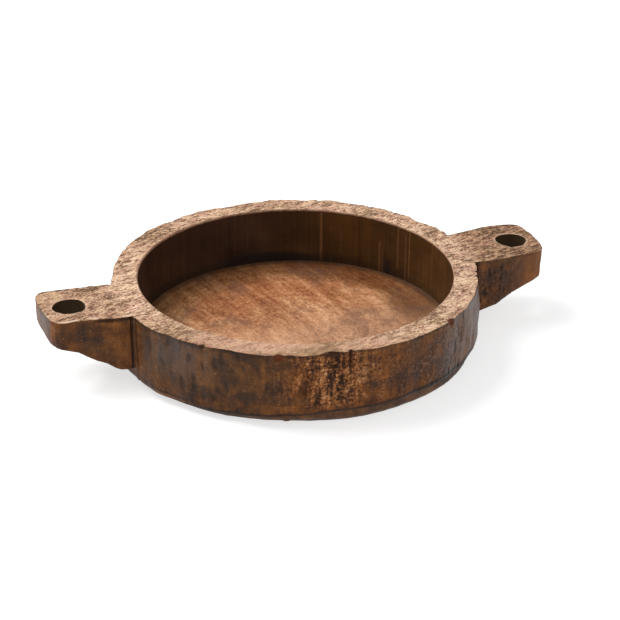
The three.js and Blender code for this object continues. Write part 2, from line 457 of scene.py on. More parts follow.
def makeWall():
    around = wall["around"]
    angle = (-math.pi + fullTurn * (np.arange(around) + 0.5) / around)[None, :]
    unitX, unitY = np.cos(angle), np.sin(angle)
    sections = []

    def at(centre, half):
        return angleHump(angle, centre, half)

    def addRings(radius, middleY, z, **marks):
        sections.append((spot(bowlX + radius * unitX, middleY + radius * unitY, z), marks))

    def topAt(x, y):
        depth, hollow = topHollow(x, y)
        outward = np.hypot(x - bowlX, y - bowlY) - rimRadius
        dip = 0.4 * smoothStep(-2.6, -1.0, outward) * handleCover(angle, 25.6)
        return rimHeight - depth - dip, hollow

    covered = handleCover(angle, 25.0)
    body, crown, foot = bodyRadius(angle), crownAt(angle), lipHeight(angle)
    ragged = 0.4 * np.abs(noiseAlong(angle * rimRadius, 4, 61, 3))
    cut = (ragged + humps(angle, [chip[:3] for chip in rimChips])) * (1 - covered)
    edge = wall["edgeRound"]
    rimEdge = body - (crown + cut + edge) * (1 - covered) - 0.1 * covered
    edgeX, edgeY = bowlX + rimEdge * unitX, bowlY + rimEdge * unitY
    edgeTop, edgeHollow = topAt(edgeX, edgeY)

    # up the outside
    t = np.concatenate([np.linspace(0, 0.9, 36), np.linspace(0.925, 1, 6)])[:, None]
    z = foot + (edgeTop - edge - foot) * t
    depth, marks = outsideMarks(angle, z, edgeTop)
    taper = wall["footTaper"] * (1 - t) ** 1.6 * (1 - 0.85 * at(-25, 40))
    footRound = wall["footRound"] * (1 - smoothStep(0, 0.05, t)) ** 2
    crowning = crown * smoothStep(0.55, 1, t) + cut * smoothStep(0.93, 1, t)
    strip, groove = humps(angle, cornerStrips), humps(angle, cornerGrooves)
    keep = smoothStep(0, 0.05, t) * (1 - 0.8 * smoothStep(0.94, 1, t))
    carved = (depth * keep - 0.45 * strip + 0.5 * groove) * (1 - covered)
    radius = body - taper - footRound - crowning - carved

    # painted shade beside the handles and in the grooves there, dark in patches under the rim, and painted
    # shade along the seam where the wall hangs past the base board
    beside = np.clip(handleCover(angle, 27.2) - covered, 0, 1)
    patchy = smoothStep(-0.5, 0.3, noiseAt(spot(angle * rimRadius, 0, z), (7, 9, 9), 88))
    underRim = 0.55 * smoothStep(0.945, 0.985, t) * patchy
    seam = 0.055 + 0.075 * at(-48, 45)
    leftFoot = at(-154, 17)
    seamLine = (1 - smoothStep(seam * 0.5, seam, t)) * (1 - leftFoot) + leftFoot * hump(t, 0.075, 0.035)
    dark = np.maximum(0.97 * seamLine, 0.9 * groove) + 0.5 * beside + underRim
    # a pale line low on the left: a painted highlight along the foot, just under the painted dark seam line
    # there
    strip = strip + 1.3 * leftFoot * hump(t, 0.035, 0.035)
    addRings(radius, bowlY, z, **marks, dark=np.clip(dark, 0, 1), strip=strip)

    # over the rim's outer edge
    turns = np.radians([20, 50, 80])[:, None]
    lift, inward = np.sin(turns), 1 - np.cos(turns)
    radius = radius[-1:] + (rimEdge - radius[-1:]) * inward
    chip, red = marks["chip"][-1:], marks["red"][-1:]
    addRings(radius, bowlY, edgeTop - edge + edge * lift, pale=smoothStep(0.5, 0.9, lift),
             hollow=edgeHollow * lift, chip=chip, red=red, **topMarks(edgeX, edgeY))

    # across the top
    innerRound = wall["innerRound"]
    innerX = bowlX + (hollowRadius + innerRound) * unitX
    innerY = hollowY + (hollowRadius + innerRound) * unitY
    t = np.linspace(0, 1, 21)[:, None]
    x, y = edgeX + (innerX - edgeX) * t, edgeY + (innerY - edgeY) * t
    z, hollow = topAt(x, y)
    nearEdge = 1 - smoothStep(0, 0.12, t)
    sections.append((spot(x, y, z), {"pale": 1, "hollow": hollow, "chip": chip * nearEdge,
                                     "red": red * nearEdge, **topMarks(x, y)}))
    innerTop = z[-1:]

    # over the inner edge and down the hollow
    turns = np.radians([30, 60, 90])[:, None]
    drop = 1 - np.cos(turns)
    # the pale line along the inner edge, on the left, is a painted highlight
    addRings(hollowRadius + innerRound * (1 - np.sin(turns)), hollowY, innerTop - innerRound * drop,
             pale=1 - 0.3 * drop, age=topAge(innerX, innerY), smooth=1, inside=smoothStep(0.8, 1, drop),
             line=(1 - 0.2 * drop) * at(-160, 70))
    t = np.linspace(0, 1, 35)[1:, None]
    z = innerTop - innerRound + (floorHeight - 0.6 - innerTop + innerRound) * t
    points = spot(angle * hollowRadius, 0, z)
    wander = 0.16 * layeredNoise(points, (40, 9, 30), 71)
    wander = wander + 0.06 * layeredNoise(points, (14, 9, 2.2), 77)
    chatter = 0.07 * layeredNoise(points, (1.8, 9, 40), 79)
    streak = np.zeros_like(z)
    for centre, half, light, high, low in hollowLines:
        reach = smoothStep(high - 0.05, high + 0.05, t) * (1 - smoothStep(low - 0.03, low + 0.05, t))
        streak = streak + light * at(centre, half) * reach
    level = t + 0.3 * wander
    # a dark band low on the wall, strongest at the back: painted shade and grime where the wall meets the
    # floor, with one dark blot beside it
    cornerShadeAndGrime = (0.3 + 0.7 * at(78, 42)) * smoothStep(0.76, 0.88, level)
    blot = 0.8 * at(31.5, 3.6) * smoothStep(0.6, 0.75, level)
    radius = hollowRadius + (wander + chatter - 0.22 * streak) * smoothStep(0, 0.1, t)
    # painted light: the right side of the hollow's wall, facing the light from the left, takes the lighter,
    # warmer ramp
    addRings(radius, hollowY, z, inside=1, strip=streak, warm=smoothStep(-0.1, 0.75, unitX),
             pale=0.6 * (1 - smoothStep(0, 0.03, t)), damp=np.clip(cornerShadeAndGrime + blot, 0, 1))

    # under the wall, and down inside the lip, both painted fully dark as shade
    lipInner = lipInside(angle)
    radius = hollowRadius + np.array([[0.09], [0.5], [1.0]]) * (lipInner - hollowRadius)
    addRings(radius, bowlY, floorHeight + 0.05, dark=1)
    t = np.array([[0.4], [0.75], [1.0]])
    addRings(lipInner + 0.2 * t, bowlY, floorHeight + (foot - floorHeight) * t, dark=1)

    points = np.concatenate([points for points, _ in sections])
    obj = meshObject("wallRing", points.reshape(-1, 3), ringFaces(len(points), around, closed=True))
    names = dict.fromkeys(name for _, marks in sections for name in marks)
    addMarks(obj.data, {name: np.concatenate([marks.get(name, 0) + 0 * points[..., 0]
                                              for points, marks in sections]) for name in names})
    obj.data.set_sharp_from_angle(angle=math.radians(55))
    return obj


# the base board

base = {
    "dish": 0.5,            # how far the floor sinks to its middle
    "edgeChamfer": 3.0,
    "around": 480,
    "seed": 23,
    "strokeCut": ((6.0, 6.0), (3.0, 0.7), math.radians(-75), 0.35, 0.25),
    "ridges": [(48, 1.8, 0.2), (82, 1.6, 0.16), (95, 1.4, 0.14)],  # radius, half width, height
    "slot": (44.5, 76.6),   # a short cut in the floor
    "boreGap": 0.28,
    "boreDepth": 9,
    "boreSides": 28,
}
pegs = {"count": 8, "diameter": 6.0, "facets": 11, "facetCut": 0.05}


def pegPlaces():
    boxes = [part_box(f"base_peg_{k + 1}") for k in range(pegs["count"])]
    return [((low.x + high.x) / 2 / mm, (low.y + high.y) / 2 / mm) for low, high in boxes]


def makeFloor(angle):
    # the turned floor: rings of points, and marks for knife strokes and the slot
    rng = np.random.default_rng(base["seed"])
    strokes = scatterCuts(rng, (-100, 100), (-100, 100), base["strokeCut"], 0.55)
    radius = np.concatenate([[0.6], np.arange(1.6, baseRadius - 3.5, 1.0)])[:, None]
    x, y = bowlX + radius * np.cos(angle), hollowY + radius * np.sin(angle)
    rise = base["dish"] * (radius / hollowRadius) ** 2
    turned = 0.06 * np.sin(radius * 2.1) + 0.05 * np.sin(radius * 0.83 + 1)
    ridge = sum(height * hump(radius, place, half) for place, half, height in base["ridges"])
    scar = scoopDepth(x, y, strokes) * (1 - smoothStep(86, 100, radius))
    wander = 0.16 * layeredNoise(spot(x, y, 0), (45, 45, 9), 5)
    slotX, slotY = base["slot"]
    slot = hump(x - slotX, 0, 2.6) * hump(y - slotY + 0.35 * (x - slotX), 0, 0.9)
    z = floorHeight - 0.5 + rise + turned + ridge - scar + wander - 0.9 * slot
    z = np.where(radius > hollowRadius + 1, floorHeight - 0.25, z)
    return spot(x, y, z), {"scar": np.clip(scar / 0.2, 0, 1), "slot": slot, "edge": 0 * z}


def makeFoot(angle):
    # the board's edge, down to the underside
    chamfer = base["edgeChamfer"]
    profile = np.array([(0.35, floorHeight - 0.45), (0.05, floorHeight - 0.9), (0, floorHeight - 2.2),
                        (0.05, 5.6), (0.1, 4.4), (0.2, chamfer + 0.5), (0.5, chamfer - 0.3),
                        (1.3, chamfer - 1.3), (2.2, chamfer - 2.2), (chamfer - 0.3, 0.35),
                        (chamfer + 0.2, 0.05), (chamfer + 0.8, 0)])
    inset, height = profile[:, :1], profile[:, 1:]
    nicks = 0.35 * layeredNoise(spot(angle * baseRadius, 0, height), (6, 9, 2), 15)
    nicks = nicks * (height > 0.2) * (height < floorHeight - 0.5)
    radius = footOutline(angle) - inset + nicks
    return spot(bowlX + radius * np.cos(angle), bowlY + radius * np.sin(angle), height)


def makeBase():
    around = base["around"]
    angle = (-math.pi + fullTurn * np.arange(around) / around)[None, :]
    floor, marks = makeFloor(angle)
    foot = makeFoot(angle)
    rows = np.concatenate([floor, foot])
    points = np.concatenate([rows.reshape(-1, 3), [[bowlX, hollowY, floor[0, :, 2].mean()]]])
    faces = ringFaces(len(rows), around)
    faces += [[len(points) - 1, k, (k + 1) % around] for k in range(around)]

    # the underside is flat, with a bore for each peg
    made = bmesh.new()
    verts = [made.verts.new(point) for point in points]
    for face in faces:
        made.faces.new([verts[i] for i in face])
    last = verts[(len(rows) - 1) * around:len(rows) * around]
    outline = [made.edges.get((last[k], last[(k + 1) % around])) for k in range(around)]
    sides = base["boreSides"]
    for x, y in pegPlaces():
        loops = []
        for depth, swell in ((0, 0.12), (0.25, 0), (base["boreDepth"], 0)):
            radius = pegs["diameter"] / 2 + base["boreGap"] + swell
            loops.append([made.verts.new(point) for point in circle(x, y, radius, depth, sides)])
        for low, high in zip(loops, loops[1:]):
            for k in range(sides):
                made.faces.new((low[(k + 1) % sides], low[k], high[k], high[(k + 1) % sides]))
        made.faces.new(loops[-1][::-1])
        outline += [made.edges.get((loops[0][k], loops[0][(k + 1) % sides])) for k in range(sides)]
    bmesh.ops.triangle_fill(made, use_beauty=True, use_dissolve=False, edges=outline, normal=(0, 0, -1))
    bmesh.ops.recalc_face_normals(made, faces=made.faces)
    bmesh.ops.scale(made, vec=(mm, mm, mm), verts=made.verts)
    mesh = bpy.data.meshes.new("baseBoard")
    made.to_mesh(mesh)
    made.free()
    for name, values in marks.items():
        full = np.zeros(len(mesh.vertices))
        full[:values.size] = values.ravel()
        if name == "edge":
            full[values.size:rows[..., 0].size] = 1
        marks[name] = full
    addMarks(mesh, marks)
    mesh.shade_smooth()
    mesh.set_sharp_from_angle(angle=math.radians(50))
    return newObject("baseBoard", mesh)


# the handles

handle = {
    "holeDiameter": 21.0,
    "holeEnd": 18.2,        # middle of the hole back from the tip
    "holeY": -2.2,
    "edgeRound": 1.6,       # lower edges
    "voxel": 0.55,
    "seed": 37,
    "toolCut": ((9, 8), (6.0, 3.0), 0.9, 0.5, 0.5),
    "pitCut": ((3.6, 5.2), (2.8, 0.9), upright, 0.2, 0.9),
}
# distance out from the middle and y along each side, and distance out and height underneath
handleShapes = {
    "left": {
        "side": -1,
        "pitted": 0.0,      # share of the pits beside the wall that are cut
        "far": [(108, 21.6), (123, 21.8), (144, 23.1), (160, 24.6), (168, 24.7), (171.5, 22.8), (173.8, 19),
                (174.5, 11.8)],
        "near": [(108, -29.4), (124, -29.2), (131, -28.9), (143, -26.8), (155, -25.2), (162, -25.4),
                 (167, -24.5), (169.7, -22.4), (172, -18.5), (173.2, -12.2), (174, -3.5), (174.5, 4.4)],
        "under": [(108, 12.2), (128, 12.4), (132, 13.4), (138, 17.2), (145, 20.2), (151, 24), (157, 27.8),
                  (163, 30), (169, 31.6), (172, 32.6), (174.6, 34.6)],
    },
    "right": {
        "side": 1,
        "pitted": 0.62,
        "far": [(108, 19.6), (122, 20.4), (130, 21.6), (138, 22.9), (147, 24.6), (155, 24.6), (162, 23.8),
                (169, 22.4), (172.6, 20.4), (174, 15.8), (174.5, 2.3)],
        "near": [(108, -28.4), (122, -28.6), (129, -28.9), (136, -29.2), (144, -28.2), (154, -26.8),
                 (164, -26.6), (168.6, -25.3), (171.3, -21.2), (173, -15.2), (174.1, -6.7), (174.5, 1.5)],
        "under": [(108, 12.2), (123, 12.8), (131, 14.8), (135, 15.8), (139, 18.6), (147, 22.4), (155, 24.8),
                  (162.6, 27.8), (169, 30.6), (172, 32.2), (174.6, 34.6)],
    },
}


def along(table, x):
    return np.interp(x, *zip(*table))


def handleCutters(side, tipX):
    # the grip hole, and the wall's round, a little inside its outside, where the inner end stops
    turn = np.linspace(0, fullTurn, 48, endpoint=False)
    wobble = 0.2 * np.sin(3 * turn + side) + 0.15 * np.sin(5 * turn + 2 * side)
    holeX, radius = side * (tipX - handle["holeEnd"]), handle["holeDiameter"] / 2 + wobble
    hole = [circle(holeX, handle["holeY"], radius, z, len(turn)) for z in (5, 60)]
    cope = [circle(bowlX, bowlY, rimRadius - inset, z, 240) for inset, z in ((6, 0), (4.5, 60))]
    return [tube("holeCutter", hole), tube("copeCutter", cope)]


def makeHandle(label):
    shape = handleShapes[label]
    side = shape["side"]
    low, high = inMm(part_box(f"handle_{label}"))
    tipX = high.x if side > 0 else -low.x
    stations = np.concatenate([np.arange(109, tipX - 12, 2.0), np.arange(tipX - 12, tipX - 2.4, 0.6),
                               np.linspace(tipX - 2.3, tipX - 0.15, 10)])
    rings = []
    for outX in stations:
        far, near, bottom = (along(shape[key], outX) for key in ("far", "near", "under"))
        r = min(handle["edgeRound"], (far - near) / 2.5)
        section = [(near, rimHeight), (near, bottom + r), (near + 0.3 * r, bottom + 0.3 * r),
                   (near + r, bottom), (far - r, bottom), (far - 0.3 * r, bottom + 0.3 * r),
                   (far, bottom + r), (far, rimHeight)]
        rings.append([(side * outX, y, z) for y, z in section])
    obj = tube("handle" + label.capitalize(), rings, smooth=True)
    made = bmesh.new()
    made.from_mesh(obj.data)
    bmesh.ops.recalc_face_normals(made, faces=made.faces)
    made.to_mesh(obj.data)
    made.free()

    cutters = handleCutters(side, tipX)
    for cutter in cutters:
        cut = obj.modifiers.new("cut", "BOOLEAN")
        cut.operation, cut.solver, cut.object = "DIFFERENCE", "EXACT", cutter
    remesh = obj.modifiers.new("remesh", "REMESH")
    remesh.mode, remesh.voxel_size = "VOXEL", handle["voxel"] * mm
    applyModifiers(obj)
    for cutter in cutters:
        bpy.data.objects.remove(cutter)
    carveHandle(obj.data, shape, tipX)
    obj.data.shade_smooth()
    obj.data.set_sharp_from_angle(angle=math.radians(60))
    return obj


def carveHandle(mesh, shape, tipX):
    side = shape["side"]
    left, right = side < 0, side > 0
    points, normals = readVectors(mesh, "co") / mm, readVectors(mesh, "normal")
    x, y, z = points.T
    outX = np.abs(x)
    seed = handle["seed"] + 3 * right
    up = smoothStep(0.35, 0.8, normals[:, 2]) * smoothStep(rimHeight - 2.2, rimHeight - 0.8, z)
    flank = smoothStep(0.5, 0.85, np.abs(normals[:, 1]))
    nearFlank = flank * (y < 0)
    fromMiddle = np.hypot(x - bowlX, y - bowlY)
    fromWall = fromMiddle - bodyRadius(angleOf(x, y))
    holeX = side * (tipX - handle["holeEnd"])
    fromHole = np.hypot(x - holeX, y - handle["holeY"]) - handle["holeDiameter"] / 2
    bore = (1 - smoothStep(0.5, 1.2, fromHole)) * (1 - up)

    # the sides, end and underside: a gentle wander, tool marks, and pits beside the wall at the right
    rng = np.random.default_rng(seed)
    tools = scatterCuts(rng, (116, 178), (12, 52), handle["toolCut"])
    pits = scatterCuts(rng, (121, 141), (15, 46), handle["pitCut"], shape["pitted"])
    tool = scoopDepth(outX, z, tools) * flank
    pit = scoopDepth(outX, z, pits) * nearFlank
    wander = 0.4 * layeredNoise(points, (20, 20, 12), seed)
    wander = wander + 0.08 * layeredNoise(points, (3, 3, 3), seed + 5)
    push = (wander - 0.6 * tool - pit - 0.1) * (1 - up) * (1 - bore)
    # the open line where the sides meet the wall
    joint = (1 - smoothStep(0.3, 1.1, np.abs(fromWall - 0.4))) * flank
    # the left handle's near edge is splintered beside the wall, and the right one's is chipped at its end
    undercut = hump(z, rimHeight - 1.9, 1.7) * nearFlank * (1 - smoothStep(138, 150, outX)) * left
    chips = smoothStep(0.1, 0.6, noiseAlong(outX, 5, seed + 8) + 0.3 * hump(outX, 168, 14))
    bevel = hump(z, rimHeight, 2.4) * nearFlank * chips * smoothStep(140, 150, outX) * right
    push = push - 1.2 * joint - 1.0 * undercut - 0.9 * bevel
    moved = points + normals * push[:, None]

    depth, hollow = topHollow(x, y)
    sink = 0.4 * (1 - smoothStep(-4.0, -2.4, fromMiddle - rimRadius))
    worn = 0.3 * (1 - smoothStep(0, 2.4, np.abs(fromHole)))
    moved[:, 2] -= (depth + sink + worn) * up
    moved[:, 2] = np.minimum(moved[:, 2], rimHeight)
    mesh.vertices.foreach_set("co", (moved * mm).astype(np.float32).ravel())
    mesh.update()

    splinter = hump(y, along(shape["near"], outX) + 1.4, 2.2) * left
    splinter = splinter * smoothStep(-0.5, 0.2, noiseAlong(outX, 5, seed + 12))
    corner = np.exp(-((outX - 167) / 9) ** 2 - ((y - 15) / 8) ** 2) * left
    flaky = np.clip(0.7 + 0.8 * layeredNoise(points, (4, 3, 4), seed + 15), 0, 1)
    addMarks(mesh, {
        **topMarks(x, y),
        "pale": up,
        "hollow": hollow * up,
        "dimple": np.clip(pit / 0.5 + 0.5 * tool, 0, 1),
        "chip": np.clip(bevel, 0, 1),
        # painted shade: in the joint with the wall, under the splintered edge and on the underside
        "dark": np.clip(joint + 1.6 * undercut + 0.4 * (normals[:, 2] < -0.5), 0, 1),
        "bore": bore,
        "glow": smoothStep(144, 156, outX) * right,
        "grit": (1 - smoothStep(126, 150, outX)) * right,
        # a pale line round the grip hole's edge, and a painted highlight along the splinter on the left
        # handle's near edge
        "line": np.clip(1.4 * hump(fromHole, 0.7, 1.1) + 2.1 * splinter, 0, 2.1) * up,
        "cream": up * corner * flaky,
    })


# pegs and dowels

dowels = {"diameter": 8.0, "flutes": 12, "perHandle": 2}


def makePeg(k):
    # a whittled peg: flat facets, a slight taper and a sawn end
    low, high = inMm(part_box(f"base_peg_{k + 1}"))
    x, y = (low.x + high.x) / 2, (low.y + high.y) / 2
    rng = np.random.default_rng(100 + k)
    facet = np.repeat(1 - rng.uniform(0, pegs["facetCut"], pegs["facets"]), 3)
    profile = [(low.z, 1.3), (low.z + 0.05, 0.35), (low.z + 0.3, 0.08), (low.z + 4, 0.06),
               (low.z + 12, 0.14), (low.z + 20, 0.22), (high.z - 1.2, 0.35), (high.z, 1.1)]
    rings = [circle(x, y, (pegs["diameter"] / 2 - draw) * facet, z, len(facet)) for z, draw in profile]
    return tube(f"basePeg{k + 1}", rings)


def makeDowel(label, k):
    # a fluted dowel lying along x, eased at both ends
    low, high = inMm(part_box(f"handle_dowel_{label}_{k + 1}"))
    y, z = (low.y + high.y) / 2, (low.z + high.z) / 2
    turn = np.linspace(0, fullTurn, dowels["flutes"] * 4, endpoint=False)
    waves = 0.5 + 0.5 * np.cos(dowels["flutes"] * turn)
    profile = [(low.x, 0.9), (low.x + 0.9, 0.1), (low.x + 3, 0), (high.x - 3, 0), (high.x - 0.9, 0.1),
               (high.x, 0.9)]
    rings = []
    for x, ease in profile:
        flute = 0.22 if ease == 0 else 0.1
        radius = dowels["diameter"] / 2 - ease - flute * waves
        rings.append(circle(y, z, radius, x, len(turn))[:, [2, 0, 1]])
    return tube(f"handleDowel{label.capitalize()}{k + 1}", rings)


print("carving the wall")
wallRing = makeWall()
print("turning the base board")
baseBoard = makeBase()
print("cutting the handles")
handlePieces = {label: makeHandle(label) for label in handleShapes}
print("whittling pegs and dowels")
pegPieces = [makePeg(k) for k in range(pegs["count"])]
dowelPieces = {(label, k): makeDowel(label, k) for label in handleShapes for k in range(dowels["perHandle"])}


# node helpers: they add to the tree being built, and a plain colour is a screen colour, 0 to 255

building = {"tree": None}


def shade(red, green, blue):
    values = [c / 255 for c in (red, green, blue)]
    return (*(c / 12.92 if c <= 0.04045 else ((c + 0.055) / 1.055) ** 2.4 for c in values), 1.0)


def colorOf(value):
    return value if isinstance(value, bpy.types.NodeSocket) else shade(*value)


def feed(node, inputs):
    for key, value in inputs.items():
        if isinstance(value, bpy.types.NodeSocket):
            node.id_data.links.new(value, node.inputs[key])
        else:
            node.inputs[key].default_value = value
    return node


def put(kind, inputs, **settings):
    node = building["tree"].nodes.new("ShaderNode" + kind)
    for key, value in settings.items():
        setattr(node, key, value)
    return feed(node, inputs)


def math2(operation, a, b):
    return put("Math", {0: a, 1: b}, operation=operation).outputs[0]


def times(a, b):
    return math2("MULTIPLY", a, b)


def total(*terms, start=0.0):
    # each value times its weight, added to the start
    for value, weight in terms:
        start = put("Math", {0: value, 1: weight, 2: start}, operation="MULTIPLY_ADD").outputs[0]
    return start


def spread(value, low, high, newLow=0.0, newHigh=1.0):
    inputs = {"Value": value, "From Min": low, "From Max": high, "To Min": newLow, "To Max": newHigh}
    return put("MapRange", inputs, interpolation_type="SMOOTHSTEP").outputs["Result"]


def blend(amount, first, second, kind="MIX"):
    inputs = {0: amount, 6: colorOf(first), 7: colorOf(second)}
    return put("Mix", inputs, data_type="RGBA", blend_type=kind).outputs[2]


def flecks(color, *layers):
    # tones laid one over another, each where its value goes from low to high
    for value, low, high, share, tone in layers:
        color = blend(spread(value, low, high, 0.0, share), color, tone)
    return color


def vectorMath(operation, a, b, output="Vector"):
    return put("VectorMath", {0: a, 1: b}, operation=operation).outputs[output]


def grainNoise(vector, scale, detail=3.0, rough=0.55, twist=0.0):
    stretched = vectorMath("MULTIPLY", vector, scale)
    inputs = {"Vector": stretched, "Scale": 1.0, "Detail": detail, "Roughness": rough, "Distortion": twist}
    return put("TexNoise", inputs).outputs[0]


def ramp(value, stops):
    node = put("ValToRGB", {"Fac": value})
    elements = node.color_ramp.elements
    elements[0].position, elements[0].color = stops[0][0], shade(*stops[0][1])
    elements[1].position, elements[1].color = stops[-1][0], shade(*stops[-1][1])
    for place, tone in stops[1:-1]:
        elements.new(place).color = shade(*tone)
    return node.outputs[0]


def mark(name):
    return put("Attribute", {}, attribute_name=name).outputs["Fac"]


def tint(color, layers):
    # tones laid one over another, each where its mark is
    for name, share, tone in layers:
        color = blend(times(mark(name), share), color, tone)
    return color


def placeInMm(turnDegrees=0.0):
    # object coordinates in millimetres, turned so that the grain runs along x
    coords = put("TexCoord", {}).outputs["Object"]
    inputs = {"Vector": coords, "Rotation": (0, 0, math.radians(turnDegrees)), "Scale": (1000, 1000, 1000)}
    return put("Mapping", inputs, vector_type="POINT").outputs[0]


def newGroup(name, inputs, outputs):
    # an input is a value with its starting number, or a vector where that is None
    tree = building["tree"] = bpy.data.node_groups.new(name, "ShaderNodeTree")
    for label, start in inputs.items():
        kind = "NodeSocketVector" if start is None else "NodeSocketFloat"
        socket = tree.interface.new_socket(label, in_out="INPUT", socket_type=kind)
        if start is not None:
            socket.default_value = start
    for label, kind in outputs.items():
        tree.interface.new_socket(label, in_out="OUTPUT", socket_type="NodeSocket" + kind)
    return tree, tree.nodes.new("NodeGroupInput").outputs, tree.nodes.new("NodeGroupOutput")


def useGroup(group, inputs):
    return put("Group", inputs, node_tree=group).outputs


# finishes that more than one piece uses

topTones = {
    "wood": [(0.36, (184, 148, 114)), (0.47, (206, 164, 134)), (0.56, (200, 152, 128)),
             (0.66, (220, 180, 144))],
    "stain": (118, 84, 62),
    "crest": (244, 208, 174),
    "pit": (78, 54, 40),
    "glint": (255, 230, 198),
    "aged": (208, 194, 182),
    "grime": (96, 74, 58),
}
sideTones = {
    "dull": [(0.35, (44, 28, 15)), (0.46, (67, 43, 21)), (0.54, (84, 54, 26)), (0.66, (106, 70, 38))],
    "warm": [(0.35, (48, 23, 7)), (0.46, (84, 45, 14)), (0.54, (106, 60, 20)), (0.66, (138, 82, 34))],
    "dark": (40, 25, 16),
    "light": (160, 116, 82),
}


def makeScrubbedTop():
    # the pale, scrubbed, adzed top: brown in the hollows, cream on the ridges
    tree, given, out = newGroup("scrubbedTop", {"Place": None, "Hollow": 0.0, "Smooth": 0.0, "Age": 0.0},
                                {"Color": "Color", "Height": "Float"})
    place, smooth = given["Place"], given["Smooth"]
    turned = put("Mapping", {"Vector": place, "Rotation": (0, 0, math.radians(-20))}).outputs[0]
    broad = grainNoise(place, (0.035, 0.05, 0.05), 3.0, 0.6)
    blobs = grainNoise(place, (0.12, 0.2, 0.2), 4.0, 0.65)
    strokes = grainNoise(turned, (0.13, 0.4, 0.3), 4.0, 0.75, 0.5)
    specks = grainNoise(place, (0.62, 0.7, 0.6), 2.0, 0.75)
    low = total((blobs, 0.9), (strokes, 2.0), (specks, 0.6), (broad, 0.6), (given["Hollow"], -0.16),
                start=-1.53)
    soft = spread(smooth, 0.0, 0.8, 0.85, 0.4)
    rough = total((smooth, -1.0), start=1.0)
    sharp = spread(rough, 0.0, 1.0, 0.1, 0.7)
    color = flecks(ramp(broad, topTones["wood"]),
                   (low, 0.43, 0.24, soft, topTones["stain"]),
                   (low, 0.48, 0.66, soft, topTones["crest"]),
                   (specks, 0.43, 0.35, sharp, topTones["pit"]),
                   (specks, 0.57, 0.65, sharp, topTones["glint"]))
    aged = blend(1.0, color, topTones["aged"], "MULTIPLY")
    aged = flecks(aged, (low, 0.5, 0.36, 0.35, topTones["grime"]))
    height = total((strokes, 3.8), (specks, 2.4), (blobs, 1.6))
    feed(out, {"Color": blend(given["Age"], color, aged),
                     "Height": times(height, spread(rough, 0.0, 1.0, 0.5, 1.0))})
    return tree


def makeStainedSide():
    # dark rubbed stain: soft blotches, upright bands and a little fine grain
    tree, given, out = newGroup("stainedSide", {"Place": None, "Warmth": 0.0},
                                {"Color": "Color", "Height": "Float", "Rub": "Float"})
    place = given["Place"]
    blotch = grainNoise(place, (0.055, 0.055, 0.065), 4.0, 0.55, 0.8)
    bands = grainNoise(place, (0.2, 0.2, 0.02), 3.0, 0.55)
    grain = grainNoise(place, (0.07, 0.07, 0.7), 3.0, 0.6)
    specks = grainNoise(place, (0.6, 0.6, 0.6), 3.0, 0.65)
    mix = total((blotch, 0.65), (bands, 0.26), (grain, 0.09))
    color = blend(given["Warmth"], ramp(mix, sideTones["dull"]), ramp(mix, sideTones["warm"]))
    color = flecks(color, (specks, 0.44, 0.33, 0.6, sideTones["dark"]),
                   (specks, 0.6, 0.72, 0.4, sideTones["light"]))
    feed(out, {"Color": color, "Height": total((grain, 0.3), (specks, 0.5)), "Rub": blotch})
    return tree


def makeOpenPores():
    # short dark dashes along the grain
    tree, given, out = newGroup("openPores", {"Place": None, "Amount": 0.5}, {"Pores": "Float"})
    dashes = grainNoise(given["Place"], (0.4, 1.2, 1.2), 2.0, 0.5)
    finer = grainNoise(given["Place"], (0.5, 1.6, 1.6), 1.0, 0.5)
    both = math2("MAXIMUM", spread(dashes, 0.58, 0.66), spread(finer, 0.64, 0.74))
    feed(out, {"Pores": times(both, given["Amount"])})
    return tree


scrubbedTop = makeScrubbedTop()
stainedSide = makeStainedSide()
openPores = makeOpenPores()


def newMaterial(name, specular=0.4, roughness=0.5):
    mat = bpy.data.materials.new(name)
    mat.use_nodes = True
    mat.node_tree.nodes.clear()
    building["tree"] = mat.node_tree
    shader = put("BsdfPrincipled", {"Roughness": roughness, "Specular IOR Level": specular})
    put("OutputMaterial", {0: shader.outputs[0]})
    return mat, shader


def finishSurface(shader, color, rough, height, distance, strength=0.6):
    relief = put("Bump", {"Height": height, "Distance": distance * mm, "Strength": strength})
    feed(shader, {"Base Color": color, "Roughness": rough, "Normal": relief.outputs[0]})


def adzedSurface(place, warmth):
    # the scrubbed top and the stained side, and the gloss and height of a piece that has both
    marks = {key: mark(key.lower()) for key in ("Hollow", "Smooth", "Age")}
    scrubbed = useGroup(scrubbedTop, {"Place": place, **marks})
    side = useGroup(stainedSide, {"Place": place, "Warmth": warmth})
    pale = mark("pale")
    gloss = total((pale, 0.22), start=spread(side["Rub"], 0.35, 0.65, 0.38, 0.55))
    height = total((scrubbed["Height"], pale), (side["Height"], 0.4))
    return pale, scrubbed["Color"], side["Color"], gloss, height


wallTones = {
    "torn": [(0.30, (22, 13, 8)), (0.40, (56, 33, 18)), (0.47, (98, 57, 29)), (0.55, (138, 84, 43)),
             (0.66, (180, 122, 74)), (0.76, (214, 164, 116))],
    "sheen": (132, 116, 110),
    "gritDark": (38, 29, 24),
    "gritLight": (124, 98, 80),
    "inner": [(0.36, (50, 33, 23)), (0.5, (62, 41, 29)), (0.64, (76, 51, 36))],
    "innerWarm": [(0.34, (60, 37, 16)), (0.5, (76, 49, 22)), (0.66, (94, 61, 27))],
    # dimple: painted shade in the dimples and pits; strip: pale on the raised strips beside the handles, and
    # a painted highlight low on the left
    "overOutside": [("dimple", 0.55, (34, 25, 18)), ("strip", 0.5, (138, 98, 70))],
    "overInner": [("strip", 0.4, (168, 118, 80)), ("strip", -0.6, (40, 14, 8)),
                  ("damp", 0.85, (30, 26, 25))],
    # line: a painted highlight along the inner edge; dark: painted shade beside the handles, in the grooves,
    # along the seam and under the wall, with dark patches under the rim
    "overAll": [("line", 0.8, (240, 204, 176)), ("chip", 0.75, (56, 34, 22)), ("red", 0.85, (116, 50, 22)),
                ("dark", 0.88, (20, 15, 12))],
}


